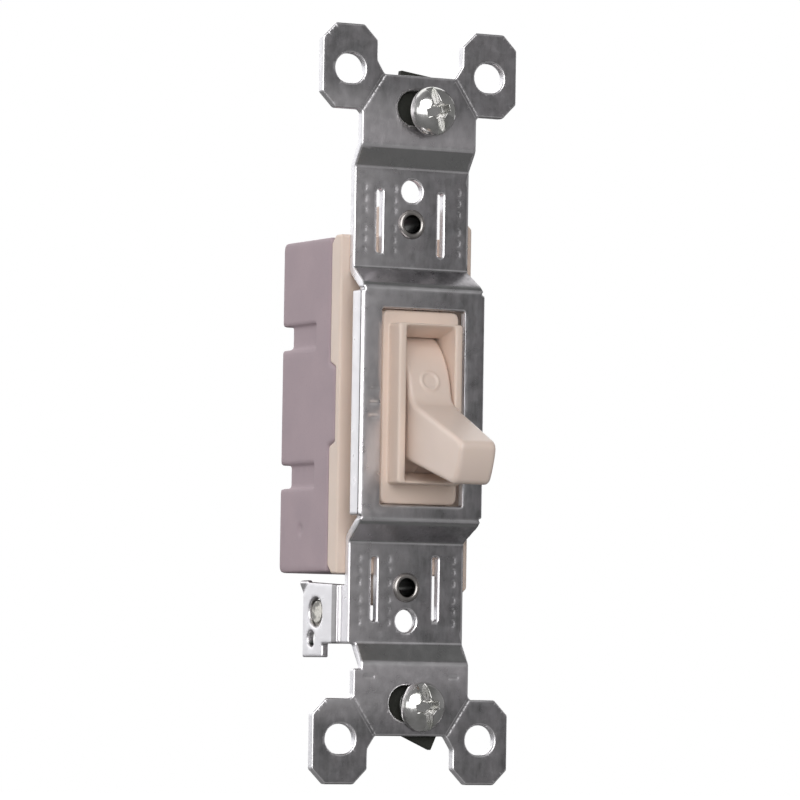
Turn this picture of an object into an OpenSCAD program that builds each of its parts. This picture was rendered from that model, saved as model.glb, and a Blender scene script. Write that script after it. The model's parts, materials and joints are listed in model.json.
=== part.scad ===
// Single-pole wall switch with a toggle lever and a grounded steel strap.
// +X is to the right seen from the front, +Y goes back into the wall, +Z is up.
// The origin is midway between the two mounting slots, on the back face of the ears,
// which is the plane of the wall. The lever is modelled down, in the off position.

/* [Strap] */
// Overall length of the steel strap, over the ears
strap_len = 106; // [105:0.5:107]
// Width over the ears
ear_span = 30.8; // [30.4:0.2:31.2]
// Sheet thickness of the strap
strap_t = 1.3; // [1.2:0.05:1.4]
// Width of the two tabs and of the stepped parts
tab_w = 18.2; // [18:0.1:18.6]
// Width of the raised plate, over its bent flanges
plate_w = 19.8; // [19.6:0.1:20.2]
// How far the raised plate's face stands in front of the wall plane
plate_rise = 3.45; // [3.3:0.05:3.6]
// How far the stepped parts' face lies behind the wall plane
step_depth = 0.7; // [0.6:0.05:0.8]
// Distance between the two mounting screws of a wall box
box_pitch = 83.34; // [83:0.01:84]
// Distance between the two tapped holes for the wall plate
plate_pitch = 60.33; // [60:0.01:61]
// Distance between the two eyelets
eyelet_pitch = 51; // [50.6:0.2:51.4]

/* [Housing] */
// Width of the base moulding
base_w = 21; // [20.8:0.1:21.2]
// Height of the base moulding
base_h = 47; // [46.6:0.2:47.4]
// How far the base reaches behind the wall plane
base_back = 19.9; // [19.8:0.1:20.4]
// Where the cover meets the base, behind the wall plane
parting_y = 4.95; // [4.9:0.05:5.1]
// Width of the collar that fills the wall plate's opening
collar_w = 10; // [9.8:0.1:10.1]
// Height of the collar
collar_h = 22.4; // [22:0.1:23]

/* [Toggle] */
// Radius of the toggle's drum
drum_r = 11.4; // [11.3:0.05:11.5]
// Width of the toggle's drum and of the lever's root
drum_w = 6.8; // [6.6:0.1:6.9]
// Distance from the pivot to the lever's tip
lever_reach = 26.5; // [24:0.5:28]
// Angle of the lever above and below level, at the two ends of its travel
throw = 19.6; // [17:0.2:19.6]

/* [Screws] */
// Diameter of the mounting screws' heads
mount_head_d = 7.2; // [6.8:0.1:7.4]
// Length of the mounting screws under the head
mount_screw_len = 16; // [14:0.5:18]
// Diameter of the terminal screws' heads
terminal_head_d = 8; // [7.6:0.1:8.2]

/* [Hidden] */

$fn = 48;
far = 60;
slack = 0.05;

// Strap
plate_face = -plate_rise;
step_face = step_depth;
bend_r = 0.75;
flange_back = -0.7;
flange_half = 15.7;
window = [12.9, 27.3];
window_sag = 0.4;
ear_hole = [11, 46.7];
ear_hole_d = 4.15;
ear_hole_len = 4.6;
box_slot_d = 4.9;
box_slot_len = 6.8;
tapped_r = 1.6;
outer_bend = [33.5, 36.3];
inner_bend = [16.2, 18.8];
rib_slot = [0.85, 8.9];
rib_slot_at = [[-5.05, 25.8], [4.6, 25.6]];

// Pressed marks: break-off lines across the ears, and rows of ticks beside the slots
mark_r = 0.5;
mark_deep = 0.1;
score = [[5.7, 46.1], [9.1, 41]];
tick = 1;
tick_columns = [-7.4, -2.7, 7.5];
tick_rows = [21.6, 23.2, 24.8, 27.2, 28.8, 30.4];
stake_rows = [-1.9, 0, 1.9];

// Grounding tab, bent back from the lower left edge of the strap, with a relief notch below it
tab_face = -9.83;
tab_t = 1.15;
tab_top = -24.8;
tab_low = -33.5;
relief = [1.2, 3.4];
ground_at = [9.4, -29.1];
ground_r = 2.1;

// Housing
step_half = 5.9;
step_forward = 1.75;
ledge_y = step_face + strap_t;
collar_front = -5.85;
lip_front = -2.65;
lip = [12, 27.1];
opening_w = 7.6;
wall = 2;
cavity_back = base_back - wall;
well_w = 8.4;
well_half = 13;
lug = [8.4, 28];
lug_back = 7.6;

// Moulded details: recessed back panel, wire gauge and ejector marks
back_panel = [13, 26];
panel_deep = 0.4;
gauge_len = 10;
gauge_z = -19;
gauge_deep = 0.5;
ejector_r = 1.5;
ejector_at = [7.9, 20.6];

// Toggle and its works
pivot_y = 5.9;
trunnion_r = 1.8;
trunnion_len = 11.2;
side_play = 0.25;
arm_pivot_y = 15.2;
arm_tilt = 10;
spring_seat_toggle = 2.1;
spring_seat_arm = 1.5;
contact_z = 9.5;
leaf = 0.8;
leaf_back = cavity_back - slack;
leaf_front = leaf_back - leaf;

// Terminals
terminal_at = [11.6, 9.85];
terminal_r = 2.05;
pad_face = base_w/2;
pad_t = 0.95;
channel_half = 2.25;

// Extrudes a shape drawn in X and Z from y0 to y1
module facing(y0, y1) {
    translate([0, y1, 0]) rotate([90, 0, 0]) linear_extrude(y1 - y0) children();
}

// Extrudes a shape drawn in Y and Z from x0 to x1
module across(x0, x1) {
    translate([x0, 0, 0]) rotate([90, 0, 90]) linear_extrude(x1 - x0) children();
}

// A block between two corners
module block(low, high) {
    translate(low) cube(high - low);
}

// A round bar or bore along Y
module rod_y(r, y0, y1, x = 0, z = 0) {
    translate([x, y1, z]) rotate([90, 0, 0]) cylinder(r = r, h = y1 - y0);
}

// A round bar or bore along X
module rod_x(r, x0, x1, y = 0, z = 0) {
    translate([x0, y, z]) rotate([0, 90, 0]) cylinder(r = r, h = x1 - x0);
}

// A slot with round ends, along X, cut through along Y
module slot_y(d, len, y0, y1, x, z) {
    gap = (len - d)/2;
    for (side = [-1, 1]) rod_y(d/2, y0, y1, x + side*gap, z);
    if (gap > 0) block([x - gap, y0, z - d/2], [x + gap, y1, z + d/2]);
}

function turned(v, a) = [v.x*cos(a) - v.y*sin(a), v.x*sin(a) + v.y*cos(a)];
function normal(v) = [-v.y, v.x];
function unit(v) = v/norm(v);
function arc(c, r, a0, a1, n) = [for (i = [0:n]) c + r*turned([1, 0], a0 + (a1 - a0)*i/n)];
function reversed(p) = [for (i = [len(p) - 1:-1:0]) p[i]];

// One face of a bent sheet: a path's corners rounded to radius r and moved d sideways
function bent(p, q, s, r, d, n) =
    let (u = unit(q - p), v = unit(s - q), turn = asin(u.x*v.y - u.y*v.x), side = sign(turn),
        start = q - u*r*tan(abs(turn)/2), centre = start + normal(u)*r*side)
    [for (i = [0:n]) centre + normal(turned(u, turn*i/n))*(d - r*side)];
function face(path, r, d, n) = concat(
    [path[0] + normal(unit(path[1] - path[0]))*d],
    [for (i = [1:len(path) - 2]) each bent(path[i - 1], path[i], path[i + 1], r, d, n)],
    [path[len(path) - 1] + normal(unit(path[len(path) - 1] - path[len(path) - 2]))*d]);
function sheet(path, r, t, n) = concat(face(path, r, t/2, n), reversed(face(path, r, -t/2, n)));

// ---- Strap ----

strap_path = [[-strap_t/2, far], [-strap_t/2, outer_bend[1]],
    [step_face + strap_t/2, outer_bend[0]], [step_face + strap_t/2, inner_bend[1]],
    [plate_face + strap_t/2, inner_bend[0]]];
strap_side = concat(strap_path, [for (p = reversed(strap_path)) [p.x, -p.y]]);

// A quarter of the strap's outline in X and Z: tab, ear and the edge down to the plate
ear_cut = 2.1;
ear_out = ear_span/2;
ear_in = 6.7;
ear_top = strap_len/2;
ear_low = 41.05;
tab_top_z = 46.25;
outline_quarter = [[0, tab_top_z], [5.5, tab_top_z], [5.95, 46.9], [ear_in, 48.1],
    [ear_in, ear_top - ear_cut], [ear_in + ear_cut, ear_top], [ear_out - ear_cut, ear_top],
    [ear_out, ear_top - ear_cut], [ear_out, ear_low + ear_cut], [ear_out - ear_cut, ear_low],
    [tab_w/2 + 0.4, ear_low], [tab_w/2, ear_low - 0.4], [tab_w/2, inner_bend[1]],
    [plate_w/2 - 0.4, inner_bend[0]], [tab_w/2, flange_half]];
outline_right = concat(outline_quarter, [for (p = reversed(outline_quarter)) [p.x, -p.y]]);
outline = concat(outline_right, [for (p = reversed(outline_right)) [-p.x, p.y]]);

// A flange bent back from an edge: section in X and Y, running from the plate to the tip
module flange_section(edge, front, back, t) {
    root = edge - t - 0.2;
    polygon(concat([[root, front]], arc([edge - bend_r, front + bend_r], bend_r, -90, 0, 8),
        [[edge, back], [edge - t, back], [edge - t, front + t], [root, front + t]]));
}

// The grounding tab: bend, joggle outwards, flat pad with its holes and a folded corner
module ground_tab() {
    joggle_y = 3.5;
    pad_front = joggle_y - 0.6;
    pad_back = 13.4;
    foot = [7.3, tab_low - 1.9];
    fold = [[pad_back, tab_top - 1.8], [pad_back - 1.75, tab_top]];
    root = [[-0.5, -0.1], [-0.1, -0.5]];
    translate([0, 0, tab_low])
        linear_extrude(tab_top - 0.4 - tab_low)
            mirror([1, 0]) flange_section(tab_w/2, step_face, joggle_y, strap_t);
    difference() {
        across(tab_face, tab_face + tab_t)
            polygon([[pad_front, tab_top - 0.4], fold[1], fold[0], [pad_back, foot.y], foot,
                [foot.x, tab_low], [pad_front, tab_low]]);
        rod_x(ground_r, tab_face - 1, tab_face + 3, ground_at.x, ground_at.y);
        rod_x(1.15, tab_face - 1, tab_face + 3, 10.7, -32.8);
    }
    translate([tab_face, fold[1].x, fold[1].y])
        rotate(a = -32, v = [0, fold[0].x - fold[1].x, fold[0].y - fold[1].y])
            translate([-tab_face, -fold[1].x, -fold[1].y])
                across(tab_face + 0.1, tab_face + tab_t*0.8)
                    polygon([fold[0] + root[0], fold[0], [pad_back + 0.1, tab_top + 0.1],
                        fold[1], fold[1] + root[1]]);
}

// A shallow round-bottomed groove in a face, centred on a point in X and Z
module groove(at, front, len, turn) {
    translate([at.x, front - mark_r + mark_deep, at.y]) rotate([0, turn, 0])
        translate([0, 0, -len/2]) cylinder(r = mark_r, h = len, $fn = 32);
}

module pressed_marks() {
    run = score[1] - score[0];
    for (end = [0, 1]) mirror([0, 0, end]) {
        for (side = [0, 1]) mirror([side, 0, 0])
            groove((score[0] + score[1])/2, -strap_t, norm(run), atan2(run.x, run.y));
        for (x = tick_columns)
            for (z = tick_rows) groove([x, z], step_face, tick, 0);
    }
    for (z = stake_rows) groove([-7.7, z], plate_face, 1.8, 90);
    for (side = [-1, 1]) groove([side*6.6, -38], -strap_t, 1.6, 90);
}

module strap() {
    color([0.44, 0.43, 0.44]) {
        difference() {
            intersection() {
                across(-far, far) polygon(sheet(strap_side, 1, strap_t, 5));
                facing(-far/3, far/3) polygon(outline);
            }
            translate([0, 0, -window_sag])
                block([-window.x/2, -far/4, -window.y/2], [window.x/2, far/4, window.y/2]);
            for (end = [-1, 1]) {
                slot_y(box_slot_d, box_slot_len, -5, 5, 0, end*box_pitch/2);
                rod_y(tapped_r, -5, 5, 0, end*plate_pitch/2);
                rod_y(1.55, -5, 5, 0, end*eyelet_pitch/2);
                for (side = [-1, 1])
                    slot_y(ear_hole_d, ear_hole_len, -5, 5, side*ear_hole.x, end*ear_hole.y);
                for (at = rib_slot_at)
                    block([at.x - rib_slot.x/2, -5, end*at.y - rib_slot.y/2],
                        [at.x + rib_slot.x/2, 5, end*at.y + rib_slot.y/2]);
            }
            block([-far, -5, tab_low - relief.y], [relief.x - tab_w/2, 5, tab_low]);
            pressed_marks();
        }
        for (side = [0, 1]) mirror([side, 0, 0])
            translate([0, 0, -flange_half]) linear_extrude(2*flange_half)
                flange_section(plate_w/2, plate_face, flange_back, strap_t);
        ground_tab();
    }
}

// ---- Housing ----

// Side outline of the base in Y and Z
module base_side(front, back, half, corner) {
    polygon(concat(
        [[front, half], [front, step_half], [front - step_forward, step_half - 0.7],
            [front - step_forward, 0.7 - step_half], [front, -step_half], [front, -half]],
        arc([back - corner, corner - half], corner, -90, 0, 6),
        arc([back - corner, half - corner], corner, 0, 90, 6)));
}

module base() {
    half = base_h/2;
    color([0.62, 0.56, 0.60])
    difference() {
        union() {
            across(-base_w/2, base_w/2) base_side(parting_y, base_back, half, 0.9);
            block([-lug.x/2, parting_y, -lug.y], [lug.x/2, lug_back, lug.y]);
        }
        // well for the toggle and the contact arm, with a bearing slot on each side
        block([-well_w/2, 0, -well_half], [well_w/2, cavity_back, well_half]);
        rod_x(trunnion_r + slack, -6.2, 6.2, pivot_y, 0);
        block([-6.2, 0, -trunnion_r - slack], [6.2, pivot_y, trunnion_r + slack]);
        // cored-out ends and left side
        for (end = [0, 1]) mirror([0, 0, end]) {
            block([-9, 0, well_half + 1.5], [9, cavity_back, half - 1.6]);
            // channel and outer recess for a terminal, on the right
            block([well_w/2 - 1, 0, terminal_at.y - channel_half],
                [base_w/2 + 1, cavity_back, terminal_at.y + channel_half]);
            block([base_w/2 - 1, 6.2, 5.6], [base_w/2 + 1, cavity_back, 14.1]);
            // shallow pocket and notch on the left
            block([-base_w/2 - 1, 9.4, 8.2], [-base_w/2 + 0.5, far, 11.5]);
            block([-base_w/2 - 1, base_back - 2.4, 8.2], [-8.7, far, 11.5]);
            rod_y(1.55, 0, far, 0, eyelet_pitch/2);
        }
        block([-8.2, 0, -well_half], [-5.7, cavity_back - 0.6, well_half]);
        block([5.7, 0, -5.4], [9, cavity_back, 5.4]);
        back_details();
        rod_x(0.7, -base_w/2 - 1, -base_w/2 + 0.15, 13.3, -17.4);
    }
}

// Cut into the back of the base: recessed panel, wire gauge and two ejector marks
module back_details() {
    block([-back_panel.x/2, base_back - panel_deep, -back_panel.y/2],
        [back_panel.x/2, far, back_panel.y/2]);
    block([-gauge_len/2, base_back - gauge_deep, gauge_z - 0.4],
        [gauge_len/2, far, gauge_z + 0.4]);
    for (side = [-1, 1]) {
        block([side*gauge_len/2 - 0.4, base_back - gauge_deep, gauge_z - 1.4],
            [side*gauge_len/2 + 0.4, far, gauge_z + 1.4]);
        rod_y(ejector_r, base_back - 0.2, far, side*ejector_at.x, side*ejector_at.y);
    }
}

module cover() {
    corner = 1.2;
    side = base_h/2 + 0.25;
    wing = 26.6;
    color([0.87, 0.80, 0.73])
    difference() {
        union() {
            across(-10.4, 10.4)
                polygon([[ledge_y, side], [parting_y - corner, side], [parting_y, side - corner],
                    [parting_y, step_half], [parting_y - step_forward, step_half - 0.7],
                    [parting_y - step_forward, 0.7 - step_half], [parting_y, -step_half],
                    [parting_y, corner - side], [parting_y - corner, -side], [ledge_y, -side]]);
            // longer lugs on the right-hand edge
            for (end = [0, 1]) mirror([0, 0, end])
                facing(ledge_y, parting_y - 0.8)
                    polygon([[6.5, side - 1], [10.4, side - 1], [10.4, wing - corner],
                        [10.4 - corner, wing], [6.5, wing]]);
            for (end = [0, 1]) mirror([0, 0, end])
                block([-lug.x/2, ledge_y, side - 4], [lug.x/2, parting_y, lug.y]);
            // raised bezel in the strap's window and the collar in front of it
            translate([0, 0, -window_sag]) facing(lip_front, ledge_y + 0.5) lip_shape(lip, 1);
            facing(collar_front, ledge_y) lip_shape([collar_w, collar_h], 0.35);
        }
        // opening for the lever, tapering inwards at its ends
        across(-opening_w/2, opening_w/2)
            polygon([[collar_front - 1, 11.15], [0.3, 9.1], [0.3, -9.1], [collar_front - 1, -11.15]]);
        rod_x(drum_r + 0.3, -opening_w/2, opening_w/2, pivot_y, 0);
        for (end = [-1, 1]) rod_y(1.55, 0, far, 0, end*eyelet_pitch/2);
    }
}

// A rectangle with round corners, drawn in X and Z
module lip_shape(size, r) {
    half = size/2 - [r, r];
    polygon([for (q = [0:3]) each
        arc([half.x*(q == 0 || q == 3 ? 1 : -1), half.y*(q < 2 ? 1 : -1)], r, 90*q, 90*q + 90, 5)]);
}

// ---- Toggle and switching works ----

// Side outline of the lever in Y and Z, level, from inside the drum to a slightly round tip
module lever_side() {
    tip_half = 3.1;
    root_half = 4.05;
    bulge = 14;
    a = asin(tip_half/bulge);
    polygon(concat([[-drum_r + 1.5, -root_half]],
        arc([bulge - lever_reach, 0], bulge, 180 + a, 180 - a, 8),
        [[-drum_r + 1.5, root_half]]));
}

module toggle() {
    drum_end = 82;
    shell = 2;
    hub_r = 4;
    hub_front = drum_r - shell + 0.2;
    pocket_w = 3.8;
    color([0.86, 0.79, 0.73])
    translate([0, pivot_y, 0]) rotate([throw, 0, 0]) {
        // drum: an arched shell, with a filled middle that carries the lever
        translate([side_play, 0, 0]) across(-drum_w/2, drum_w/2)
            polygon(concat(arc([0, 0], drum_r, 180 - drum_end, 180 + drum_end, 48),
                arc([0, 0], drum_r - shell, 180 + drum_end, 180 - drum_end, 48)));
        difference() {
            translate([side_play, 0, 0]) {
                across(-drum_w/2, drum_w/2)
                    polygon([[0, -hub_r], [0, hub_r], [-hub_front, 4.5], [-hub_front, -4.5]]);
                rod_x(hub_r, -drum_w/2, drum_w/2);
                rod_x(trunnion_r, -trunnion_len/2, trunnion_len/2);
            }
            block([-pocket_w/2, -1, -far], [pocket_w/2, far, far]);
        }
        // post with a ball end that carries the spring
        rod_y(0.8, -1.2, spring_seat_toggle);
        translate([0, spring_seat_toggle, 0]) sphere(r = 1.1, $fn = 32);
        translate([side_play, 0, 0]) intersection() {
            across(-drum_w/2, drum_w/2) lever_side();
            translate([0, 0, -far/2]) linear_extrude(far)
                polygon([[-drum_w/2, -drum_r + 1.5], [drum_w/2, -drum_r + 1.5],
                    [2.9, -lever_reach - 1], [-2.9, -lever_reach - 1]]);
        }
    }
}

// The two ends of the spring, on the ball ends of the toggle and of the contact arm
spring_a = [pivot_y, 0] + turned([spring_seat_toggle, 0], throw);
spring_b = [arm_pivot_y, 0] + turned([-spring_seat_arm, 0], arm_tilt);
spring_run = norm(spring_b - spring_a);
spring_angle = atan2(spring_b.y - spring_a.y, spring_b.x - spring_a.x);

// A coil spring along +Y, swept as one closed tube
module coil(r, wire, length, turns) {
    steps = 12*turns;
    sides = 8;
    ring = [for (i = [0:steps]) let (a = 360*turns*i/steps, y = length*i/steps)
        [for (k = [0:sides - 1]) let (b = 360*k/sides, q = r + wire*cos(b))
            [q*cos(a), y + wire*sin(b), q*sin(a)]]];
    points = [for (p = ring) each p];
    skin = [for (i = [0:steps - 1]) for (k = [0:sides - 1]) let (n = (k + 1)%sides)
        [i*sides + k, (i + 1)*sides + k, (i + 1)*sides + n, i*sides + n]];
    polyhedron(points, concat(skin, [[for (k = [0:sides - 1]) k]],
        [[for (k = [sides - 1:-1:0]) steps*sides + k]]));
}

module toggle_spring() {
    ball_gap = 0.85;
    wire = 0.22;
    color([0.72, 0.73, 0.75])
    translate([0, spring_a.x, spring_a.y]) rotate([spring_angle, 0, 0])
        translate([0, ball_gap + wire, 0])
            coil(1.25, wire, spring_run - 2*ball_gap - 2*wire, 5);
}

// Places a part of the contact arm, tilted for the off position
module on_arm() {
    translate([0, arm_pivot_y, 0]) rotate([arm_tilt, 0, 0]) children();
}

arm_w = 5;
arm_t = 1;
arm_set = 2.2;

module contact_arm() {
    color([0.78, 0.62, 0.33])
    on_arm() difference() {
        union() {
            across(-arm_w/2, arm_w/2)
                polygon(sheet([[0, -3.2], [0, 2.6], [-arm_set, 5.2], [-arm_set, 11.3]], 1, arm_t, 4));
            rod_x(1.8, -arm_w/2, arm_w/2);
            rod_y(0.8, -spring_seat_arm - 0.7, -1.2);
        }
        rod_x(1.05, -far, far);
        rod_y(0.85, -far, 0, 0, contact_z);
    }
}

module arm_pivot_pin() {
    color([0.6, 0.6, 0.62])
    rod_x(1, -3.9, 3.9, arm_pivot_y, 0);
}

// A contact rivet along Y: a low dome that faces +Y, on a shank
module rivet(head_r, head_t, shank_r, shank) {
    rotate([-90, 0, 0]) rotate_extrude()
        polygon([[0, -shank], [shank_r, -shank], [shank_r, 0], [head_r, 0],
            [head_r, head_t - 0.35], [0.6, head_t], [0, head_t]]);
}

module moving_contact() {
    color([0.82, 0.82, 0.8])
    on_arm() translate([0, arm_t/2 - arm_set, contact_z]) rivet(1.6, 0.7, 0.83, arm_t + 0.2);
}

module fixed_contact() {
    on_face = 15.94;
    color([0.82, 0.82, 0.8])
    translate([0, leaf_front, 9.53]) rotate([0, 0, 180])
        rivet(1.7, leaf_front - on_face, 0.83, leaf);
}

// Outer pad of a terminal, in the base's recess, tapped for its screw; upper one
module terminal_pad() {
    difference() {
        block([pad_face - pad_t, 6.6, 5.9], [pad_face, leaf_back, 13.8]);
        rod_x(terminal_r + slack, pad_face - 3, pad_face + 3, terminal_at.x, terminal_at.y);
    }
}

module line_terminal() {
    color([0.80, 0.64, 0.34])
    difference() {
        union() {
            terminal_pad();
            block([-2.4, leaf_front, 7.75], [pad_face, leaf_back, 11.95]);
        }
        rod_y(0.85, 0, far, 0, 9.53);
    }
}

module load_terminal() {
    ear_x = 3.7;
    color([0.80, 0.64, 0.34])
    difference() {
        union() {
            mirror([0, 0, 1]) terminal_pad();
            block([-ear_x, leaf_front, -11.95], [pad_face, leaf_back, -7.75]);
            block([-ear_x, leaf_front, -7.9], [ear_x, leaf_back, 2.2]);
            for (side = [0, 1]) mirror([side, 0, 0])
                block([ear_x - leaf, arm_pivot_y - 2, -2.2], [ear_x, leaf_back, 2.2]);
        }
        rod_x(1.02, -far, 5, arm_pivot_y, 0);
    }
}

// ---- Screws, washers and eyelets ----

// A domed head along -Y with its underside at y = 0, with a slot and a cross
module slotted_head(r, dome, rim, slot_w, slot_deep) {
    crown = (r*r + dome*dome)/(2*dome);
    a = asin(r/crown);
    difference() {
        rotate([90, 0, 0]) rotate_extrude()
            polygon(concat([[0, 0], [r, 0], [r, rim]],
                arc([0, rim + dome - crown], crown, 90 - a, 90, 10)));
        block([-slot_w/2, -far, -far], [slot_w/2, -rim - dome + slot_deep, far]);
        block([-r*0.45, -far, -slot_w/2], [r*0.45, slot_deep*0.6 - rim - dome, slot_w/2]);
        rod_y(r*0.28, -far, slot_deep*1.2 - rim - dome);
    }
}

// A machine screw that points along +Y, with its head's underside at y = 0 and a thinner neck
module machine_screw(head_r, dome, rim, shank_r, length, neck = 0) {
    slotted_head(head_r, dome, rim, 1.05, min(1.1, dome - 0.1));
    if (neck > 0) rod_y(shank_r - 0.22, -0.2, neck + 0.1);
    rod_y(shank_r, neck > 0 ? neck : -0.2, length - 0.6);
    translate([0, length - 0.6, 0]) rotate([-90, 0, 0])
        cylinder(r1 = shank_r, r2 = shank_r - 0.5, h = 0.6);
}

mount_shank_r = 1.72;
// How far the mounting screws hang below the middles of their slots
mount_sag = 0.45;
// X place, distance in front of the strap, and turn of each mounting screw
mount_top = [1.2, 1.6, -16];
mount_bottom = [1.6, 0.3, -10];

module mounting_screw(at, z) {
    neck = strap_t + at.y + 1.3;
    color([0.78, 0.77, 0.76])
    translate([at.x, -strap_t - at.y, z]) rotate([0, at.z, 0])
        machine_screw(mount_head_d/2, 1.5, 0.8, mount_shank_r, mount_screw_len, neck);
}

module mounting_screw_top() {
    mounting_screw(mount_top, box_pitch/2 - mount_sag);
}

module mounting_screw_bottom() {
    mounting_screw(mount_bottom, -box_pitch/2 - mount_sag);
}

// A piece of fibre sheet that keeps a mounting screw in its slot, cropped clear of the bend
module retaining_washer(at, z, size, turn) {
    clear = outer_bend[1] + 0.5;
    color([0.12, 0.13, 0.11])
    difference() {
        translate([at.x, 0, z]) rotate([0, turn, 0]) difference() {
            block([-size.x/2, slack, -size.y/2], [size.x/2, slack + 1, size.y/2]);
            rod_y(mount_shank_r + slack, -1, 2);
        }
        block([-far, -far, -clear], [far, far, clear]);
    }
}

module retaining_washer_top() {
    retaining_washer(mount_top, box_pitch/2 - mount_sag, [8.6, 10.6], 8);
}

module retaining_washer_bottom() {
    retaining_washer(mount_bottom, -box_pitch/2 - mount_sag, [9.2, 9.2], 24);
}

// A terminal screw, head to the right of the base
module terminal_screw(z) {
    color([0.84, 0.68, 0.36])
    translate([pad_face + 0.1, terminal_at.x, z]) rotate([0, 0, 90])
        machine_screw(terminal_head_d/2, 1.2, 1.1, terminal_r, 6);
}

module terminal_screw_upper() {
    terminal_screw(terminal_at.y);
}

module terminal_screw_lower() {
    terminal_screw(-terminal_at.y);
}

// The green grounding screw, backed out, with its head on the inner side of its tab
module ground_screw() {
    backed_out = 2.3;
    color([0.25, 0.5, 0.3])
    translate([tab_face + tab_t + backed_out, ground_at.x, ground_at.y]) rotate([0, 0, 90])
        machine_screw(3.7, 1.1, 0.9, ground_r - slack, backed_out + tab_t - 0.25);
}

// A tubular rivet through the strap, the cover and the base, rolled over at both ends
module eyelet(z) {
    roll_r = 2.1;
    back_r = 1.9;
    tube_r = 1.5;
    bore_r = 1.2;
    roll_t = 0.45;
    depth = lug_back - step_face;
    color([0.5, 0.5, 0.5])
    translate([0, step_face, z]) rotate([-90, 0, 0]) rotate_extrude()
        polygon([[bore_r, 0], [bore_r + 0.25, -roll_t], [roll_r - 0.3, -roll_t], [roll_r, -0.1],
            [roll_r, 0], [tube_r, 0], [tube_r, depth], [back_r, depth], [back_r, depth + 0.1],
            [back_r - 0.2, depth + roll_t], [bore_r + 0.2, depth + roll_t], [bore_r, depth]]);
}

module eyelet_top() {
    eyelet(eyelet_pitch/2);
}

module eyelet_bottom() {
    eyelet(-eyelet_pitch/2);
}

strap();
cover();
base();
toggle();
toggle_spring();
contact_arm();
arm_pivot_pin();
moving_contact();
fixed_contact();
line_terminal();
load_terminal();
terminal_screw_upper();
terminal_screw_lower();
ground_screw();
mounting_screw_top();
mounting_screw_bottom();
retaining_washer_top();
retaining_washer_bottom();
eyelet_top();
eyelet_bottom();
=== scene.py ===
"""Looks of a toggle wall switch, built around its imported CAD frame.

Blender's own lengths are metres. Shapes and patterns are worked out in millimetres, in the object's frame.
"""

import json
import math

import bpy
import numpy as np
import openvdb
from mathutils import Matrix, Vector

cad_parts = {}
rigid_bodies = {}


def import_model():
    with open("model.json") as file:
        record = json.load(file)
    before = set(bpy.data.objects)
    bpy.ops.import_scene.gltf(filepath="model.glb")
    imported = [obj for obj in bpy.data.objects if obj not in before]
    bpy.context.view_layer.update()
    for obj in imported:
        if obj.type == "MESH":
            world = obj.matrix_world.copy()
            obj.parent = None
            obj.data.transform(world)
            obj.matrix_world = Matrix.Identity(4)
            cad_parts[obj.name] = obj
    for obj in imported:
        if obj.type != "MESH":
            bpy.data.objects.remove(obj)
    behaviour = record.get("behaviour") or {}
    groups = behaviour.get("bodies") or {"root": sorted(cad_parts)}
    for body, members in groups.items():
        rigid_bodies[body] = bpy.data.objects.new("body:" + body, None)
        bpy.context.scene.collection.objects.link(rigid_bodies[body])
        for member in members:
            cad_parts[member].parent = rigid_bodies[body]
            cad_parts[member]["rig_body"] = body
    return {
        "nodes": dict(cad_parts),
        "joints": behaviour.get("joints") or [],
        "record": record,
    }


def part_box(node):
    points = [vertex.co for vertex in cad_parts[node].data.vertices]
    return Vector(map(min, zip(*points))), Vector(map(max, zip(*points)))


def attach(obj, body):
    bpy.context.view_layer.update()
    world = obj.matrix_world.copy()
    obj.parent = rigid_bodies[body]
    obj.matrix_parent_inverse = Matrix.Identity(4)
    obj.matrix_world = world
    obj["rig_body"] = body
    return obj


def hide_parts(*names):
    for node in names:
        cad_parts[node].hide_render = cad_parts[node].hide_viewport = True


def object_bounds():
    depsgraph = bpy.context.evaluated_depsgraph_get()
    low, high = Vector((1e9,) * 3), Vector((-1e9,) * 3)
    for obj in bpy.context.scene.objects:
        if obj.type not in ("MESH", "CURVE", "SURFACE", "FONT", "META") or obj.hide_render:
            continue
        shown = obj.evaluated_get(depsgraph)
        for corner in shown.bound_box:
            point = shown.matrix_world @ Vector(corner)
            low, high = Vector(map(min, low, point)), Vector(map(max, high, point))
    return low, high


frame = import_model()
cad_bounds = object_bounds()
MM = 0.001

# ---- Camera ----

VIEW_AZIMUTH = math.radians(-27.618)
VIEW_ELEVATION = math.radians(-3.067)
VIEW_ROLL = math.radians(0.881)
VIEW_DISTANCE = 0.7464
VIEW_TARGET = Vector((-2.47, -1.3, 0.635)) * MM
SENSOR = 36
LENS = 240.4
CLIP_START = 0.01


def add_camera():
    """The camera looks at the switch from the front left and from a little below it."""
    level = math.cos(VIEW_ELEVATION)
    back = Vector((
        math.sin(VIEW_AZIMUTH) * level,
        -math.cos(VIEW_AZIMUTH) * level,
        math.sin(VIEW_ELEVATION),
    ))
    right = (-back).cross(Vector((0, 0, 1))).normalized()
    up = right.cross(-back)
    turned_right = right * math.cos(VIEW_ROLL) + up * math.sin(VIEW_ROLL)
    turned_up = up * math.cos(VIEW_ROLL) - right * math.sin(VIEW_ROLL)
    data = bpy.data.cameras.new("camera")
    data.sensor_width = SENSOR
    data.lens = LENS
    data.clip_start = CLIP_START
    camera = bpy.data.objects.new("camera", data)
    turn = Matrix((turned_right, turned_up, back)).transposed().to_4x4()
    camera.matrix_world = Matrix.Translation(VIEW_TARGET + back * VIEW_DISTANCE) @ turn
    bpy.context.scene.collection.objects.link(camera)
    bpy.context.scene.camera = camera


# ---- Materials ----

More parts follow.
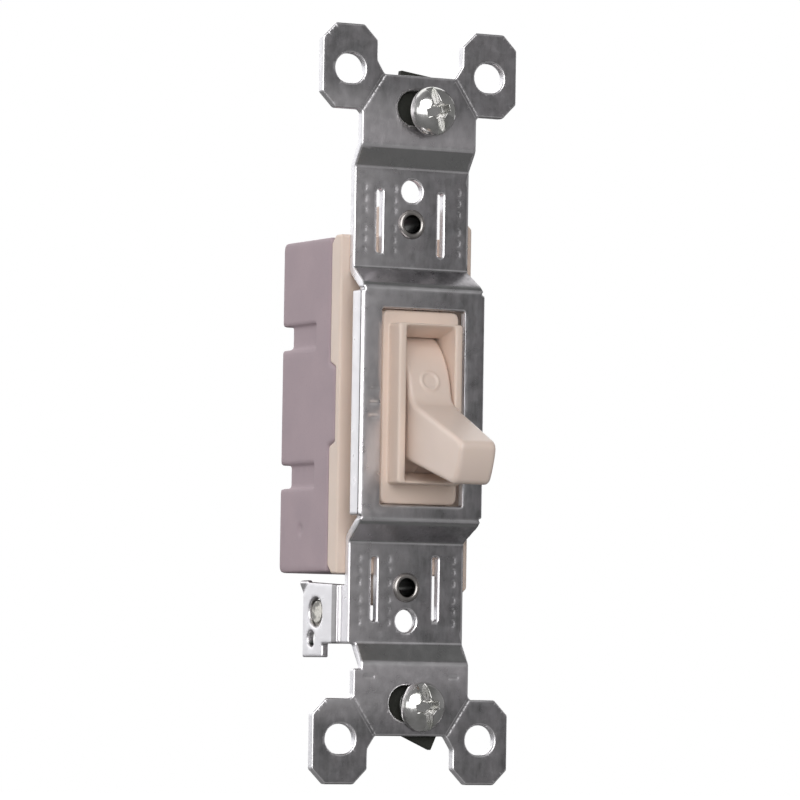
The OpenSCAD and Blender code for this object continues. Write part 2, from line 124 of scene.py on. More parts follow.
STEEL_DARK = (0.29, 0.285, 0.29)
STEEL_PALE = (0.43, 0.41, 0.425)
STEEL_STREAK = (0.64, 0.62, 0.65)
STEEL_SPANGLE = (0.60, 0.60, 0.63)
STEEL_FORMED = (0.86, 0.83, 0.85)
STEEL_STRIP = (0.92, 0.88, 0.91)
# Even painted reflection on the strap's slopes
STEEL_SLOPE_REFLECTION = (0.50, 0.50, 0.50)
# Painted highlight along the strap's bends and on its edges beyond the plate's ends
STEEL_PAINTED_HIGHLIGHT = (0.97, 0.95, 0.97)
# Painted shade along the folds of the plate's side flanges
STEEL_FOLD_SHADE = (0.14, 0.14, 0.14)
# Sideways faces: partly the bare steel of cut edges, partly a painted reflection on the flanges' outer
# faces
STEEL_CUT_EDGE_AND_SHEEN = (0.80, 0.79, 0.82)
# Painted shade on the step in the grounding tab
STEEL_STEP_SHADE = (0.34, 0.33, 0.34)
# Heights from the middle, up or down, of the ears, the flat strips beside them and the raised plate's
# ends; beyond the plate's ends the edges get a painted highlight
EARS_FROM = 42
STRIP = (35.5, 36.5, 37.5, 42)
PLATE_END = (19.5, 20.5)
# Depths of the raised plate's front and of the step in the grounding tab, which bound the painted shade
# along the flanges' folds and on the step
PLATE_DEPTH = (-2.5, -2.9)
TAB_STEP = (2.9, 3.0, 4.2, 4.4)

ALMOND_DRIFT = 0.93
MAUVE = (0.44, 0.34, 0.372)
MAUVE_CLOUD = (0.40, 0.312, 0.344)
MAUVE_FLECK = (0.27, 0.23, 0.25)
BRASS_BRIGHT = (0.78, 0.58, 0.28)
BRASS_DULL = (0.60, 0.42, 0.20)
RIVET_BRIGHT = (0.52, 0.49, 0.47)
RIVET_DULL = (0.36, 0.34, 0.33)
# Painted shade inside the rivet's bore
RIVET_BORE_SHADE = (0.02, 0.02, 0.018)
DYE_GREEN = (0.03, 0.075, 0.045)
DYE_DARK = (0.02, 0.05, 0.03)
WORN_BRIGHT = (0.56, 0.54, 0.50)
WORN_DULL = (0.17, 0.165, 0.155)
WORN_TIP_END = (0.6, 1.4)
FIBRE_DARK = (0.010, 0.011, 0.009)
FIBRE_PALE = (0.035, 0.036, 0.028)


class Surface:
    """A Principled material whose patterns are measured in millimetres in the object's own frame."""

    def __init__(self, name, roughness, metallic=0.0):
        self.material = bpy.data.materials.new(name)
        self.material.use_nodes = True
        self.tree = self.material.node_tree
        self.shader = self.tree.nodes["Principled BSDF"]
        self.shader.inputs["Roughness"].default_value = roughness
        self.shader.inputs["Metallic"].default_value = metallic
        place = self.node("ShaderNodeTexCoord").outputs["Object"]
        scaled = self.node("ShaderNodeVectorMath", operation="SCALE")
        scaled.inputs["Scale"].default_value = 1 / MM
        self.tree.links.new(place, scaled.inputs[0])
        self.place = scaled.outputs[0]

    def node(self, kind, **settings):
        made = self.tree.nodes.new(kind)
        for key, value in settings.items():
            setattr(made, key, value)
        return made

    def set(self, socket, source):
        """Feeds a node's output, or a plain value, into one of the shader's inputs."""
        target = self.shader.inputs[socket]
        if isinstance(source, bpy.types.NodeSocket):
            self.tree.links.new(source, target)
        else:
            target.default_value = source

    def stretched(self, scale):
        """The place in millimetres, stretched along each axis."""
        mapping = self.node("ShaderNodeMapping")
        mapping.inputs["Scale"].default_value = scale
        self.tree.links.new(self.place, mapping.inputs["Vector"])
        return mapping.outputs["Vector"]

    def noise(self, size_mm, detail=3.0, stretch=(1, 1, 1)):
        made = self.node("ShaderNodeTexNoise")
        made.inputs["Scale"].default_value = 1 / size_mm
        made.inputs["Detail"].default_value = detail
        self.tree.links.new(self.stretched(stretch), made.inputs["Vector"])
        return made.outputs["Fac"]

    def cells(self, size_mm):
        """Random grey cells, such as the spangle of a zinc coat."""
        made = self.node("ShaderNodeTexVoronoi")
        made.inputs["Scale"].default_value = 1 / size_mm
        self.tree.links.new(self.place, made.inputs["Vector"])
        grey = self.node("ShaderNodeSeparateColor")
        self.tree.links.new(made.outputs["Color"], grey.inputs[0])
        return grey.outputs[0]

    def part(self, source, axis, size_only=True):
        """One component of a place or of a direction, or its size."""
        parts = self.node("ShaderNodeSeparateXYZ")
        self.tree.links.new(source, parts.inputs[0])
        if not size_only:
            return parts.outputs[axis]
        size = self.node("ShaderNodeMath", operation="ABSOLUTE")
        self.tree.links.new(parts.outputs[axis], size.inputs[0])
        return size.outputs[0]

    def facing(self, axis):
        """How squarely the surface faces along one of the object's own axes, either way."""
        turned = self.node("ShaderNodeVectorTransform", vector_type="NORMAL")
        turned.convert_from = "WORLD"
        turned.convert_to = "OBJECT"
        normal = self.node("ShaderNodeNewGeometry").outputs["Normal"]
        self.tree.links.new(normal, turned.inputs[0])
        return self.part(turned.outputs[0], axis)

    def times(self, first, second):
        made = self.node("ShaderNodeMath", operation="MULTIPLY")
        self.tree.links.new(first, made.inputs[0])
        self.tree.links.new(second, made.inputs[1])
        return made.outputs[0]

    def span(self, source, low, high, to_low=0.0, to_high=1.0):
        """Maps low to high, either way round, onto another range, and holds there beyond them."""
        made = self.node("ShaderNodeMapRange")
        self.tree.links.new(source, made.inputs["Value"])
        values = {"From Min": low, "From Max": high, "To Min": to_low, "To Max": to_high}
        for key, value in values.items():
            made.inputs[key].default_value = value
        return made.outputs["Result"]

    def weakened(self, mask, amount):
        return self.span(mask, 0, 1, 0, amount)

    def window(self, source, start, full, fading, end):
        """Rises from start to full, stays, and falls from fading to end."""
        return self.times(self.span(source, start, full), self.span(source, end, fading))

    def mix(self, amount, first, second):
        """A colour between two colours, each a tuple or another node's output."""
        made = self.node("ShaderNodeMix", data_type="RGBA")
        factor, colour_a, colour_b = made.inputs[0], made.inputs[6], made.inputs[7]
        for socket, value in ((factor, amount), (colour_a, first), (colour_b, second)):
            if isinstance(value, bpy.types.NodeSocket):
                self.tree.links.new(value, socket)
            elif isinstance(value, tuple):
                socket.default_value = (*value, 1)
            else:
                socket.default_value = value
        return made.outputs[2]

    def bump(self, height, depth_mm, strength):
        made = self.node("ShaderNodeBump")
        made.inputs["Strength"].default_value = strength
        made.inputs["Distance"].default_value = depth_mm * MM
        self.tree.links.new(height, made.inputs["Height"])
        self.tree.links.new(made.outputs["Normal"], self.shader.inputs["Normal"])


def zinc_coat(s):
    """Blotches, streaks along the strap and spangle."""
    blotches = s.span(s.noise(2.6, detail=4), 0.36, 0.64)
    streaks = s.span(s.noise(0.5, detail=3, stretch=(1, 1, 0.25)), 0.35, 0.65)
    tone = s.mix(blotches, STEEL_DARK, STEEL_PALE)
    tone = s.mix(s.weakened(streaks, 0.3), tone, STEEL_STREAK)
    return s.mix(s.weakened(s.cells(1.1), 0.2), tone, STEEL_SPANGLE)


def lighter_zones(s, tone, height):
    """Brighter towards the left between the ears, and on the flat strips beside the ears."""
    leftward = s.span(s.part(s.place, "X", size_only=False), 3, -9)
    formed = s.times(s.span(height, EARS_FROM + 3, EARS_FROM), leftward)
    strip = s.window(height, *STRIP)
    tone = s.mix(s.weakened(formed, 0.75), tone, STEEL_FORMED)
    return s.mix(s.weakened(strip, 0.75), tone, STEEL_STRIP)


def bends(s, tone, height, aside, depth):
    """Painted light by facing: an even painted reflection on the slopes, painted highlights along the
    bends and edges, and painted shade along the folds of the plate's flanges.
    """
    slant = s.facing("Z")
    # Mask for the even painted reflection on the slopes
    slope_reflection = s.window(slant, 0.5, 0.54, 0.7, 0.8)
    # Masks for the painted highlights along the bends and on the edges
    bend_highlight = s.window(slant, 0.08, 0.2, 0.4, 0.5)
    edge = s.times(s.span(aside, 0.1, 0.3), s.span(height, *PLATE_END))
    # Mask for the painted shade along the flanges' folds
    fold_shade = s.times(s.window(aside, 0.76, 0.82, 0.87, 0.9), s.span(depth, *PLATE_DEPTH))
    tone = s.mix(slope_reflection, tone, STEEL_SLOPE_REFLECTION)
    tone = s.mix(bend_highlight, tone, STEEL_PAINTED_HIGHLIGHT)
    tone = s.mix(edge, tone, STEEL_PAINTED_HIGHLIGHT)
    return s.mix(fold_shade, tone, STEEL_FOLD_SHADE)


def galvanised_steel():
    """Mottled zinc, lighter on the formed tabs and plate. Painted highlights on the cut edges and along
    the bends, an even painted reflection on the slopes, painted shade along the flanges' folds and on the
    grounding tab's step; sideways faces lighter and less metallic, partly as bare cut edges and partly as
    painted reflection.
    """
    s = Surface("galvanised_steel", 0.4, metallic=1.0)
    height = s.part(s.place, "Z")
    aside = s.facing("X")
    depth = s.part(s.place, "Y", size_only=False)
    tone = lighter_zones(s, zinc_coat(s), height)
    tone = bends(s, tone, height, aside, depth)
    # Sideways faces get a lighter, less metallic tone: bare cut edges in part, painted reflection in part
    side = s.span(aside, 0.88, 0.93)
    tone = s.mix(side, tone, STEEL_CUT_EDGE_AND_SHEEN)
    # Painted shade on the grounding tab's step
    s.set("Base Color", s.mix(s.window(depth, *TAB_STEP), tone, STEEL_STEP_SHADE))
    s.set("Metallic", s.span(side, 0, 1, 1.0, 0.5))
    s.set("Roughness", s.span(s.noise(1.4, detail=5), 0.3, 0.7, 0.26, 0.42))
    s.bump(s.span(s.noise(0.35, detail=2), 0.3, 0.7), 0.012, 0.5)
    return s.material


def almond_plastic(name, colour, roughness):
    s = Surface(name, roughness)
    drift = s.span(s.noise(9, detail=2), 0.3, 0.7)
    darker = tuple(c * ALMOND_DRIFT for c in colour)
    s.set("Base Color", s.mix(drift, colour, darker))
    s.set("Roughness", s.span(s.noise(0.8), 0.3, 0.7, roughness - 0.05, roughness + 0.06))
    s.set("Subsurface Weight", 0.06)
    s.set("Subsurface Radius", (0.9 * MM, 0.6 * MM, 0.4 * MM))
    s.bump(s.noise(0.22, detail=2), 0.004, 0.35)
    return s.material


def mauve_thermoset():
    """Clouded, with small dark flecks."""
    s = Surface("mauve_thermoset", 0.62)
    cloud = s.span(s.noise(6, detail=4), 0.3, 0.7)
    flecks = s.span(s.noise(0.25, detail=2), 0.62, 0.75)
    tone = s.mix(cloud, MAUVE, MAUVE_CLOUD)
    s.set("Base Color", s.mix(s.weakened(flecks, 0.5), tone, MAUVE_FLECK))
    s.bump(s.noise(0.18), 0.008, 0.5)
    return s.material


def plated(name, bright, dull, roughness):
    """A plated metal with a few dull patches and a faint grain."""
    s = Surface(name, roughness, metallic=1.0)
    patches = s.span(s.noise(1.8, detail=4), 0.42, 0.68)
    s.set("Base Color", s.mix(patches, bright, dull))
    s.set("Roughness", s.span(s.noise(0.5), 0.3, 0.7, roughness - 0.05, roughness + 0.08))
    s.bump(s.noise(0.3, detail=2), 0.003, 0.35)
    return s.material


def stamped_brass():
    s = Surface("stamped_brass", 0.3, metallic=1.0)
    patches = s.span(s.noise(1.5, detail=4), 0.35, 0.7)
    s.set("Base Color", s.mix(patches, BRASS_BRIGHT, BRASS_DULL))
    s.set("Roughness", s.span(s.noise(0.6), 0.3, 0.7, 0.22, 0.40))
    s.bump(s.noise(0.5, stretch=(1, 1, 6)), 0.004, 0.4)
    return s.material


def from_eyelet_axis(s):
    """Distance from the axis of the nearer eyelet."""
    low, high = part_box("eyelet_top")
    across = s.part(s.place, "X")
    along = s.node("ShaderNodeMath", operation="SUBTRACT")
    s.tree.links.new(s.part(s.place, "Z"), along.inputs[0])
    along.inputs[1].default_value = abs(low.z + high.z) / 2 / MM
    total = s.node("ShaderNodeMath", operation="ADD")
    s.tree.links.new(s.times(across, across), total.inputs[0])
    s.tree.links.new(s.times(along.outputs[0], along.outputs[0]), total.inputs[1])
    reach = s.node("ShaderNodeMath", operation="SQRT")
    s.tree.links.new(total.outputs[0], reach.inputs[0])
    return reach.outputs[0]


def rolled_rivet():
    """Plated outside; nearly black inside the tube, which is painted shade."""
    s = Surface("rolled_rivet", 0.3, metallic=1.0)
    outside = s.span(from_eyelet_axis(s), EYELET_BORE + 0.08, EYELET_BORE + 0.2)
    tone = s.mix(s.span(s.noise(1.8, detail=4), 0.42, 0.68), RIVET_BRIGHT, RIVET_DULL)
    # The bore gets painted shade
    s.set("Base Color", s.mix(outside, RIVET_BORE_SHADE, tone))
    s.bump(s.noise(0.3, detail=2), 0.003, 0.35)
    return s.material


def green_zinc():
    """Green dyed zinc, rubbed to bare metal at the tip of the thread."""
    s = Surface("green_zinc", 0.3, metallic=1.0)
    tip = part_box("ground_screw")[0].x / MM
    along = s.part(s.place, "X", size_only=False)
    dyed = s.mix(s.span(s.noise(1.8, detail=4), 0.42, 0.68), DYE_GREEN, DYE_DARK)
    worn = s.mix(s.span(s.noise(1.1), 0.42, 0.58), WORN_BRIGHT, WORN_DULL)
    dye = s.span(along, tip + WORN_TIP_END[0], tip + WORN_TIP_END[1])
    s.set("Base Color", s.mix(dye, worn, dyed))
    s.set("Roughness", s.span(s.noise(0.5), 0.3, 0.7, 0.23, 0.36))
    s.bump(s.noise(0.3, detail=2), 0.003, 0.35)
    return s.material


def fibre_sheet():
    s = Surface("fibre_sheet", 0.75)
    s.set("Base Color", s.mix(s.noise(0.5, detail=4, stretch=(4, 1, 1)), FIBRE_DARK, FIBRE_PALE))
    s.bump(s.noise(0.25, detail=4, stretch=(3, 1, 1)), 0.02, 0.6)
    return s.material


# ---- Shapes ----

MARGIN_STEPS = 3
REMOULD_WELD = 0.03
REMOULD_MERGING = 0.01
REMOULD_WEIGHT = 60
EDGE_WELD = 0.002
EDGE_FLAT = math.radians(0.6)
EDGE_ANGLE = math.radians(38)
EDGE_SEGMENTS = 3
EDGE_WEIGHT = 80


def mesh_object(name, vertices, faces, smooth=True):
    data = bpy.data.meshes.new(name)
    data.from_pydata(np.asarray(vertices).tolist(), [], faces)
    if smooth:
        data.shade_smooth()
    else:
        data.shade_flat()
    made = bpy.data.objects.new(name, data)
    bpy.context.scene.collection.objects.link(made)
    return made


def moulded(name, field, low, high, step):
    """Meshes the zero surface of a distance field, given in millimetres over a box."""
    margin = MARGIN_STEPS * step
    axes = [np.arange(a - margin, b + margin, step) for a, b in zip(low, high)]
    x, y, z = np.meshgrid(*axes, indexing="ij")
    values = field(x, y, z).astype(np.float32)
    grid = openvdb.FloatGrid()
    grid.background = float(values.max())
    grid.copyFromArray(values)
    points, quads = grid.convertToQuads(0.0)
    start = np.array([a[0] for a in axes])
    return mesh_object(name, (points * step + start) * MM, quads[:, ::-1].tolist())


def remoulded(node, step, radius):
    """A CAD node's own shape meshed anew, with its outer edges rounded; larger faces where it is flat."""
    mesh = frame["nodes"][node].data
    mesh.calc_loop_triangles()
    points = np.array([v.co for v in mesh.vertices], np.float32) / MM
    faces = {"triangles": np.array([t.vertices for t in mesh.loop_triangles], np.uint32)}
    cell = openvdb.createLinearTransform(voxelSize=step)
    reach = radius / step + MARGIN_STEPS
    for offset, merging in ((-radius, 0), (radius, REMOULD_MERGING)):
        grid = openvdb.FloatGrid.createLevelSetFromPolygons(
            points, transform=cell, halfWidth=reach, **faces)
        points, triangles, quads = grid.convertToPolygons(offset, merging)
        faces = {"triangles": triangles, "quads": quads}
    polygons = triangles[:, ::-1].tolist() + quads[:, ::-1].tolist()
    piece = mesh_object(node + "_formed", points * MM, polygons)
    weld = piece.modifiers.new("weld", "WELD")
    weld.merge_threshold = REMOULD_WELD * MM
    even = piece.modifiers.new("even", "WEIGHTED_NORMAL")
    even.weight = REMOULD_WEIGHT
    stand_in(piece, node)


def stand_in(piece, node):
    """A new piece takes a CAD node's place, body and finish."""
    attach(piece, frame["nodes"][node]["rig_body"])
    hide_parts(node)
    paint(piece, MATERIALS[slot_of(node)])


def smooth_max(a, b, r):
    """The larger of two distances, with the corner between them rounded."""
    h = np.clip(0.5 + 0.5 * (a - b) / r, 0, 1)
    return b + (a - b) * h + r * h * (1 - h)


def smooth_min(a, b, r):
    """The smaller of two distances, with the corner between them filled."""
    return -smooth_max(-a, -b, r)


def finish_edges(node, width_mm):
    """Gives a CAD node soft edges and even shading, and leaves its vertices alone."""
    piece = frame["nodes"][node]
    mesh = piece.data
    if "custom_normal" in mesh.attributes:
        mesh.attributes.remove(mesh.attributes["custom_normal"])
    mesh.shade_smooth()
    weld = piece.modifiers.new("weld", "WELD")
    weld.merge_threshold = EDGE_WELD * MM
    flat = piece.modifiers.new("flat", "DECIMATE")
    flat.decimate_type = "DISSOLVE"
    flat.angle_limit = EDGE_FLAT
    bevel = piece.modifiers.new("bevel", "BEVEL")
    bevel.width = width_mm * MM
    bevel.segments = EDGE_SEGMENTS
    bevel.limit_method = "ANGLE"
    bevel.angle_limit = EDGE_ANGLE
    bevel.use_clamp_overlap = False
    bevel.miter_outer = "MITER_ARC"
    even = piece.modifiers.new("even", "WEIGHTED_NORMAL")
    even.weight = EDGE_WEIGHT


def paint(piece, material):
    piece.data.materials.clear()
    piece.data.materials.append(material)


def slot_of(node):
    for row in frame["record"]["subparts"]:
        if row["node"] == node:
            return row["material_slot"]


# ---- Toggle ----

DRUM_R = 11.4
DRUM_WALL = 2
DRUM_HALF_W = 3.4
DRUM_SPAN = math.radians(82)
SIDE_PLAY = 0.25
LEVER_REACH = 26.5
LEVER_FOOT = 6
LEVER_ROOT = (3.4, 4.05)
LEVER_TIP = (2.85, 3.1)
LEVER_ROUNDING = 1.0
LEVER_FILLET = 1.7
FOOT_ROUNDING = 0.1
SHELL_ROUNDING = 0.3
SIDE_ROUNDING = 0.75
TIP_CROWN = 14
TOGGLE_STEP = 0.16

MARK_AT = 7.2
MARK_RISE = 0.16
MARK_HALF_W = 0.2
MARK_BLUR = 0.2
RING_R = 1.3
BAR_HALF_L = 1.5

WEB_HALF_H = 4.2
WEB_INSET = 1.5
HUB_R = 4
TRUNNION_R = 1.8
TRUNNION_HALF_L = 5.6
POCKET_HALF_W = 1.9
POCKET_FROM = 1
POST_R = 0.8
POST_FROM = 1.5
BALL_AT = 2.1
BALL_R = 1.1
POCKET_ROUNDING = 0.2


def toggle_marks(x, along):
    """Height of the raised off ring above the lever and of the on bar below it."""
    ring = np.abs(np.hypot(x, along - MARK_AT) - RING_R) - MARK_HALF_W
    bar = np.maximum(np.abs(x) - MARK_HALF_W, np.abs(along + MARK_AT) - BAR_HALF_L)
    return MARK_RISE * np.clip(0.5 - np.minimum(ring, bar) / MARK_BLUR, 0, 1)


def lever_field(x, y, z):
    """The lever and its drum, level: the lever points along -Y from a pivot at the origin."""
    turn = np.arctan2(z, -y)
    radius = np.hypot(y, z)
    out = np.clip((-y - DRUM_R) / (LEVER_REACH - DRUM_R), 0, 1)
    half_w = LEVER_ROOT[0] + (LEVER_TIP[0] - LEVER_ROOT[0]) * out
    half_h = LEVER_ROOT[1] + (LEVER_TIP[1] - LEVER_ROOT[1]) * out
    sides = np.abs(x) - half_w
    crown = np.hypot(y + LEVER_REACH - TIP_CROWN, z) - TIP_CROWN
    tip = np.where(y < TIP_CROWN - LEVER_REACH, crown, -TIP_CROWN)
    blade = smooth_max(np.abs(z) - half_h, tip, LEVER_ROUNDING)
    lever = smooth_max(blade, y + LEVER_FOOT, FOOT_ROUNDING)
    sector = y * math.sin(DRUM_SPAN) + np.abs(z) * math.cos(DRUM_SPAN)
    marks = toggle_marks(x, turn * DRUM_R) * (np.abs(turn) < DRUM_SPAN)
    drum = radius - DRUM_R - marks
    tube = smooth_max(drum, DRUM_R - DRUM_WALL - radius, SHELL_ROUNDING)
    shell = smooth_max(tube, sector, SHELL_ROUNDING)
    return smooth_max(smooth_min(shell, lever, LEVER_FILLET), sides, SIDE_ROUNDING)


def hub_field(x, y, z):
    """The filled middle of the drum with its trunnions, spring pocket and ball-ended post."""
    aside = np.abs(x - SIDE_PLAY)
    web = np.maximum(np.abs(z) - WEB_HALF_H, np.maximum(WEB_INSET - DRUM_R - y, y))
    hub = np.maximum(np.minimum(web, np.hypot(y, z) - HUB_R), aside - DRUM_HALF_W)
    trunnion = np.maximum(np.hypot(y, z) - TRUNNION_R, aside - TRUNNION_HALF_L)
    pocket = np.maximum(np.abs(x) - POCKET_HALF_W, -POCKET_FROM - y)
    post = np.maximum(np.hypot(x, z) - POST_R, np.maximum(-POST_FROM - y, y - BALL_AT))
    ball = np.sqrt(x * x + (y - BALL_AT) ** 2 + z * z) - BALL_R
    body = smooth_max(np.minimum(hub, trunnion), -pocket, POCKET_ROUNDING)
    return np.minimum(np.minimum(body, post), ball)


def build_toggle():
    """The toggle lies at the lower end of its throw, about its own joint's axis."""
    throw = next(j for j in frame["joints"] if j["name"] == "toggle_throw")
    pivot_y = throw["pos_m"][1] / MM
    rest = math.radians(throw["range_deg"][1] / 2)
    low, high = (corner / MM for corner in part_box("toggle"))

    def field(x, y, z):
        level_y = (y - pivot_y) * math.cos(rest) + z * math.sin(rest)
        level_z = z * math.cos(rest) - (y - pivot_y) * math.sin(rest)
        lever = lever_field(x - SIDE_PLAY, level_y, level_z)
        return np.minimum(lever, hub_field(x, level_y, level_z))

    stand_in(moulded("toggle_lever", field, low, high, TOGGLE_STEP), "toggle")


# ---- Screws and eyelets ----

PITCH = 0.794
THREAD_DEPTH = 0.55 * PITCH
THREAD_FLAT = 1.25
THREAD_SLOPE = 0.8
THREAD_ROUNDING = 0.08
TIP_CHAMFER = 0.5
TIP_SLOPE = 0.7
SHANK_OVERLAP = 0.3
MOUNTING_SCREW = {"radius": 3.6, "dome": 1.5, "rim": 0.8, "shank": 1.72, "axis": "Y", "step": 0.07}
TERMINAL_SCREW = {"radius": 4, "dome": 1.2, "rim": 1.1, "shank": 2.05, "axis": "X", "step": 0.08}
GROUND_SCREW = {"radius": 3.7, "dome": 1.1, "rim": 0.9, "shank": 2.05, "axis": "X", "step": 0.08}

HEAD_ROUNDING = 1.0
UNDER_ROUNDING = 0.12
SLOT_HALF_W = 0.55
SLOT_BELOW = 0.05
CROSS_HALF_W = 0.5
CROSS_REACH = 0.52
CROSS_TAPER = 0.3
CROSS_BELOW = 0.3
CORE_SHARE = 0.36
CORE_FILLET = 0.3
RECESS_ROUNDING = 0.1


def head_field(x, y, z, radius, dome, rim):
    """A domed head in front of y = 0 with a slot and a cross recess, rounded at its edges."""
    crown = (radius ** 2 + dome ** 2) / (2 * dome)
    rho = np.hypot(x, z)
    top = -rim - dome
    ball = np.sqrt(rho ** 2 + (y - top - crown) ** 2) - crown
    head = smooth_max(smooth_max(ball, rho - radius, HEAD_ROUNDING), y, UNDER_ROUNDING)
    depth = y - top
    slot = np.maximum(np.abs(x) - SLOT_HALF_W, depth - dome - SLOT_BELOW)
    arms = np.abs(x) - (CROSS_REACH * radius - CROSS_TAPER * depth)
    cross = np.maximum(np.abs(z) - CROSS_HALF_W, arms)
    core = rho - (CORE_SHARE * radius - CROSS_TAPER * depth)
    star = smooth_min(cross, core, CORE_FILLET)
    recess = np.maximum(star, depth - dome - CROSS_BELOW)
    return smooth_max(head, -np.minimum(slot, recess), RECESS_ROUNDING)


def thread_field(x, y, z, radius, length):
    """A threaded shank from just inside the head to its chamfered tip."""
    phase = y / PITCH - np.arctan2(z, x) / (2 * math.pi)
    ridge = np.abs(2 * (phase - np.floor(phase)) - 1)
    crest = radius - THREAD_DEPTH * np.clip(THREAD_FLAT * ridge, 0, 1)
    rho = np.hypot(x, z)
    tip = (rho - radius + TIP_CHAMFER + y - length) * TIP_SLOPE
    ends = np.maximum(tip, np.maximum(-SHANK_OVERLAP - y, y - length))
    return smooth_max((rho - crest) * THREAD_SLOPE, ends, THREAD_ROUNDING)


def build_screw(node, turn, radius, dome, rim, shank, axis, step):
    """A screw in the box of its CAD node, pointing along its axis into the switch."""
    low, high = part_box(node)
    middle = (low + high) / 2
    face = low.y if axis == "Y" else high.x
    length = abs((high.y if axis == "Y" else low.x) - face) / MM - rim - dome

    def field(x, y, z):
        head = head_field(x, y, z, radius, dome, rim)
        return np.minimum(head, thread_field(x, y, z, shank, length))

    corners = (-radius, -rim - dome, -radius), (radius, length, radius)
    piece = moulded(node + "_threaded", field, *corners, step)
    under = (rim + dome) * MM
    spin = Matrix.Rotation(turn, 4, "Y")
    if axis == "Y":
        place = Matrix.Translation((middle.x, face + under, middle.z))
    else:
        place = Matrix.Translation((face - under, middle.y, middle.z))
        place = place @ Matrix.Rotation(math.pi / 2, 4, "Z")
    piece.data.transform(place @ spin)
    stand_in(piece, node)


TURN_STEPS = 72
ARC_POINTS = 12
EYELET_BORE = 1.2
EYELET_TUBE = 1.5
EYELET_ROLL = 0.44
EYELET_BACK_ROLL = EYELET_ROLL * 0.75
NECK_FLARE = 0.1
NECK_END = 0.02
NECK_START = 0.12


def arc(centre, radius, start, end):
    """Points along an arc, between two angles in degrees."""
    angles = np.linspace(math.radians(start), math.radians(end), ARC_POINTS)
    return [(centre[0] + radius * math.cos(a), centre[1] + radius * math.sin(a)) for a in angles]


def turned(name, profile):
    """A closed profile of radius and height, turned about the Y axis."""
    count = len(profile)
    vertices, faces = [], []
    for i in range(TURN_STEPS):
        a = 2 * math.pi * i / TURN_STEPS
        vertices += [(r * math.cos(a) * MM, h * MM, r * math.sin(a) * MM) for r, h in profile]
        here, there = i * count, (i + 1) % TURN_STEPS * count
        for k in range(count):
            after = (k + 1) % count
            faces.append((here + k, there + k, there + after, here + after))
    return mesh_object(name, vertices, faces)


def build_eyelet(node):
    """A tubular rivet, rolled over in front of the strap and behind the base."""
    low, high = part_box(node)
    middle = (low + high) / 2
    depth = (high.y - low.y) / MM - 2 * EYELET_ROLL
    flare = EYELET_TUBE + NECK_FLARE
    profile = arc((EYELET_BORE + EYELET_ROLL, 0), EYELET_ROLL, 180, 360)
    profile += [(flare, NECK_END), (EYELET_TUBE, NECK_START)]
    profile += [(EYELET_TUBE, depth - NECK_START), (flare, depth - NECK_END)]
    profile += arc((EYELET_BORE + EYELET_BACK_ROLL, depth), EYELET_BACK_ROLL, 0, 180)
    piece = turned(node + "_rolled", profile)
    piece.data.transform(Matrix.Translation((middle.x, low.y + EYELET_ROLL * MM, middle.z)))
    stand_in(piece, node)


# ---- Stage and light ----

BACKDROP_SEEN = 1.0
FLOOR_DROP = 0.07
FLOOR_HALF = 3.0
FLOOR_GREY = (0.2, 0.2, 0.2, 1)
FLOOR_SEEN = 0.92


def add_area(name, place, size, power):
    """A soft light that looks at the middle of the switch."""
    data = bpy.data.lights.new(name, "AREA")
    data.energy = power
    data.size = size
    light = bpy.data.objects.new(name, data)
    light.location = place
    light.rotation_euler = (-Vector(place)).to_track_quat("-Z", "Y").to_euler()
    bpy.context.scene.collection.objects.link(light)


def add_world():
    """A white backdrop behind, a soft grey at the left and a darker room in front and to the right."""
    world = bpy.data.worlds.new("studio")
    bpy.context.scene.world = world
    world.use_nodes = True
    nodes, links = world.node_tree.nodes, world.node_tree.links
    background = nodes["Background"]
    place = nodes.new("ShaderNodeTexCoord").outputs["Generated"]

    def toward(direction, low, high, to_low, to_high):
        """A level that changes smoothly as the ray turns towards a direction."""
        along = nodes.new("ShaderNodeVectorMath")
        along.operation = "DOT_PRODUCT"
        along.inputs[1].default_value = Vector(direction).normalized()
        links.new(place, along.inputs[0])
        shade = nodes.new("ShaderNodeMapRange")
        shade.interpolation_type = "SMOOTHSTEP"
        values = {"From Min": low, "From Max": high, "To Min": to_low, "To Max": to_high}
        for key, value in values.items():
            shade.inputs[key].default_value = value
        links.new(along.outputs["Value"], shade.inputs["Value"])
        return shade.outputs["Result"]

    room = toward((0.62, -0.78, 0), low=-0.35, high=0.55, to_low=0.4, to_high=0.24)
    ceiling = toward((0, 0, 1), low=0.25, high=0.7, to_low=1.0, to_high=0.7)
    backdrop = toward((-0.1, 1, 0), low=0.1, high=0.5, to_low=0.0, to_high=1.1)
    total = nodes.new("ShaderNodeMath")
    total.operation = "MULTIPLY_ADD"
    for socket, level in zip(total.inputs, (room, ceiling, backdrop)):
        links.new(level, socket)
    seen = nodes.new("ShaderNodeLightPath").outputs["Is Camera Ray"]
    pick = nodes.new("ShaderNodeMix")
    links.new(seen, pick.inputs[0])
    links.new(total.outputs[0], pick.inputs[2])
    pick.inputs[3].default_value = BACKDROP_SEEN
    links.new(pick.outputs[0], background.inputs["Strength"])
    background.inputs["Color"].default_value = (1, 1, 1, 1)


def add_floor():
    """A pale floor, which the camera sees evenly lit."""
    below = cad_bounds[0][2] - FLOOR_DROP
    ways = ((-1, -1), (1, -1), (1, 1), (-1, 1))
    corners = [(x * FLOOR_HALF, y * FLOOR_HALF, below) for x, y in ways]
    floor = mesh_object("floor", corners, [(0, 1, 2, 3)], smooth=False)
    s = Surface("pale_floor", 0.9)
    s.set("Base Color", FLOOR_GREY)
    s.set("Emission Color", (1, 1, 1, 1))
    seen = s.node("ShaderNodeLightPath").outputs["Is Camera Ray"]
    s.set("Emission Strength", s.weakened(seen, FLOOR_SEEN))
    paint(floor, s.material)


# ---- Build ----

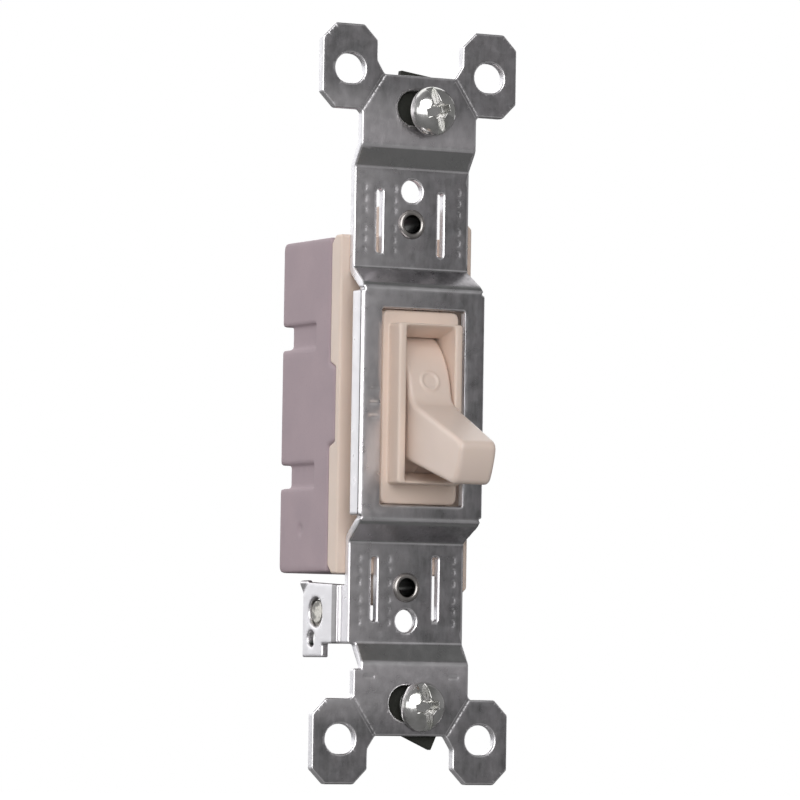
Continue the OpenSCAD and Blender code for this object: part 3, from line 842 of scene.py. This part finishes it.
add_camera()
add_floor()
add_world()
add_area("key", place=(-0.42, -0.85, 0.3), size=0.85, power=6.3)
add_area("side", place=(-0.85, -0.42, 0.02), size=0.5, power=1.0)
bpy.context.scene.view_settings.view_transform = "Standard"

MATERIALS = {
    "strap_steel": galvanised_steel(),
    "cover_plastic": almond_plastic("almond_cover", (0.82, 0.67, 0.575), 0.45),
    "base_plastic": mauve_thermoset(),
    "toggle_plastic": almond_plastic("almond_toggle", (0.83, 0.685, 0.60), 0.34),
    "spring_steel": plated("spring_wire", (0.6, 0.6, 0.62), (0.45, 0.45, 0.46), 0.25),
    "brass": stamped_brass(),
    "contact_silver": plated("silver_alloy", (0.83, 0.82, 0.79), (0.6, 0.59, 0.57), 0.25),
    "brass_screw": plated("brass_plate", (0.84, 0.64, 0.32), (0.66, 0.48, 0.24), 0.2),
    "green_screw": green_zinc(),
    "screw_steel": plated("bright_zinc", (0.80, 0.79, 0.78), (0.60, 0.60, 0.57), 0.14),
    "fibre": fibre_sheet(),
    "eyelet_steel": rolled_rivet(),
}

# Grid step and edge radius of the nodes that are meshed anew
FORMED = {"strap": (0.14, 0.1), "base": (0.22, 0.25), "cover": (0.16, 0.15)}
# Edge width of the nodes that keep their own mesh
EDGES = {
    "contact_arm": 0.1, "line_terminal": 0.1, "load_terminal": 0.1,
    "retaining_washer_top": 0.12, "retaining_washer_bottom": 0.12,
    "moving_contact": 0.08, "fixed_contact": 0.08, "arm_pivot_pin": 0.1,
}
# Kind of each screw, and how far its slot is turned, in degrees
SCREWS = {
    "mounting_screw_top": (MOUNTING_SCREW, -16),
    "mounting_screw_bottom": (MOUNTING_SCREW, -10),
    "terminal_screw_upper": (TERMINAL_SCREW, 35),
    "terminal_screw_lower": (TERMINAL_SCREW, -20),
    "ground_screw": (GROUND_SCREW, 20),
}
for node, piece in frame["nodes"].items():
    paint(piece, MATERIALS[slot_of(node)])
for node, width in EDGES.items():
    finish_edges(node, width)
for node, (step, radius) in FORMED.items():
    remoulded(node, step, radius)
build_toggle()
for node, (kind, turn) in SCREWS.items():
    build_screw(node, math.radians(turn), **kind)
build_eyelet("eyelet_top")
build_eyelet("eyelet_bottom")
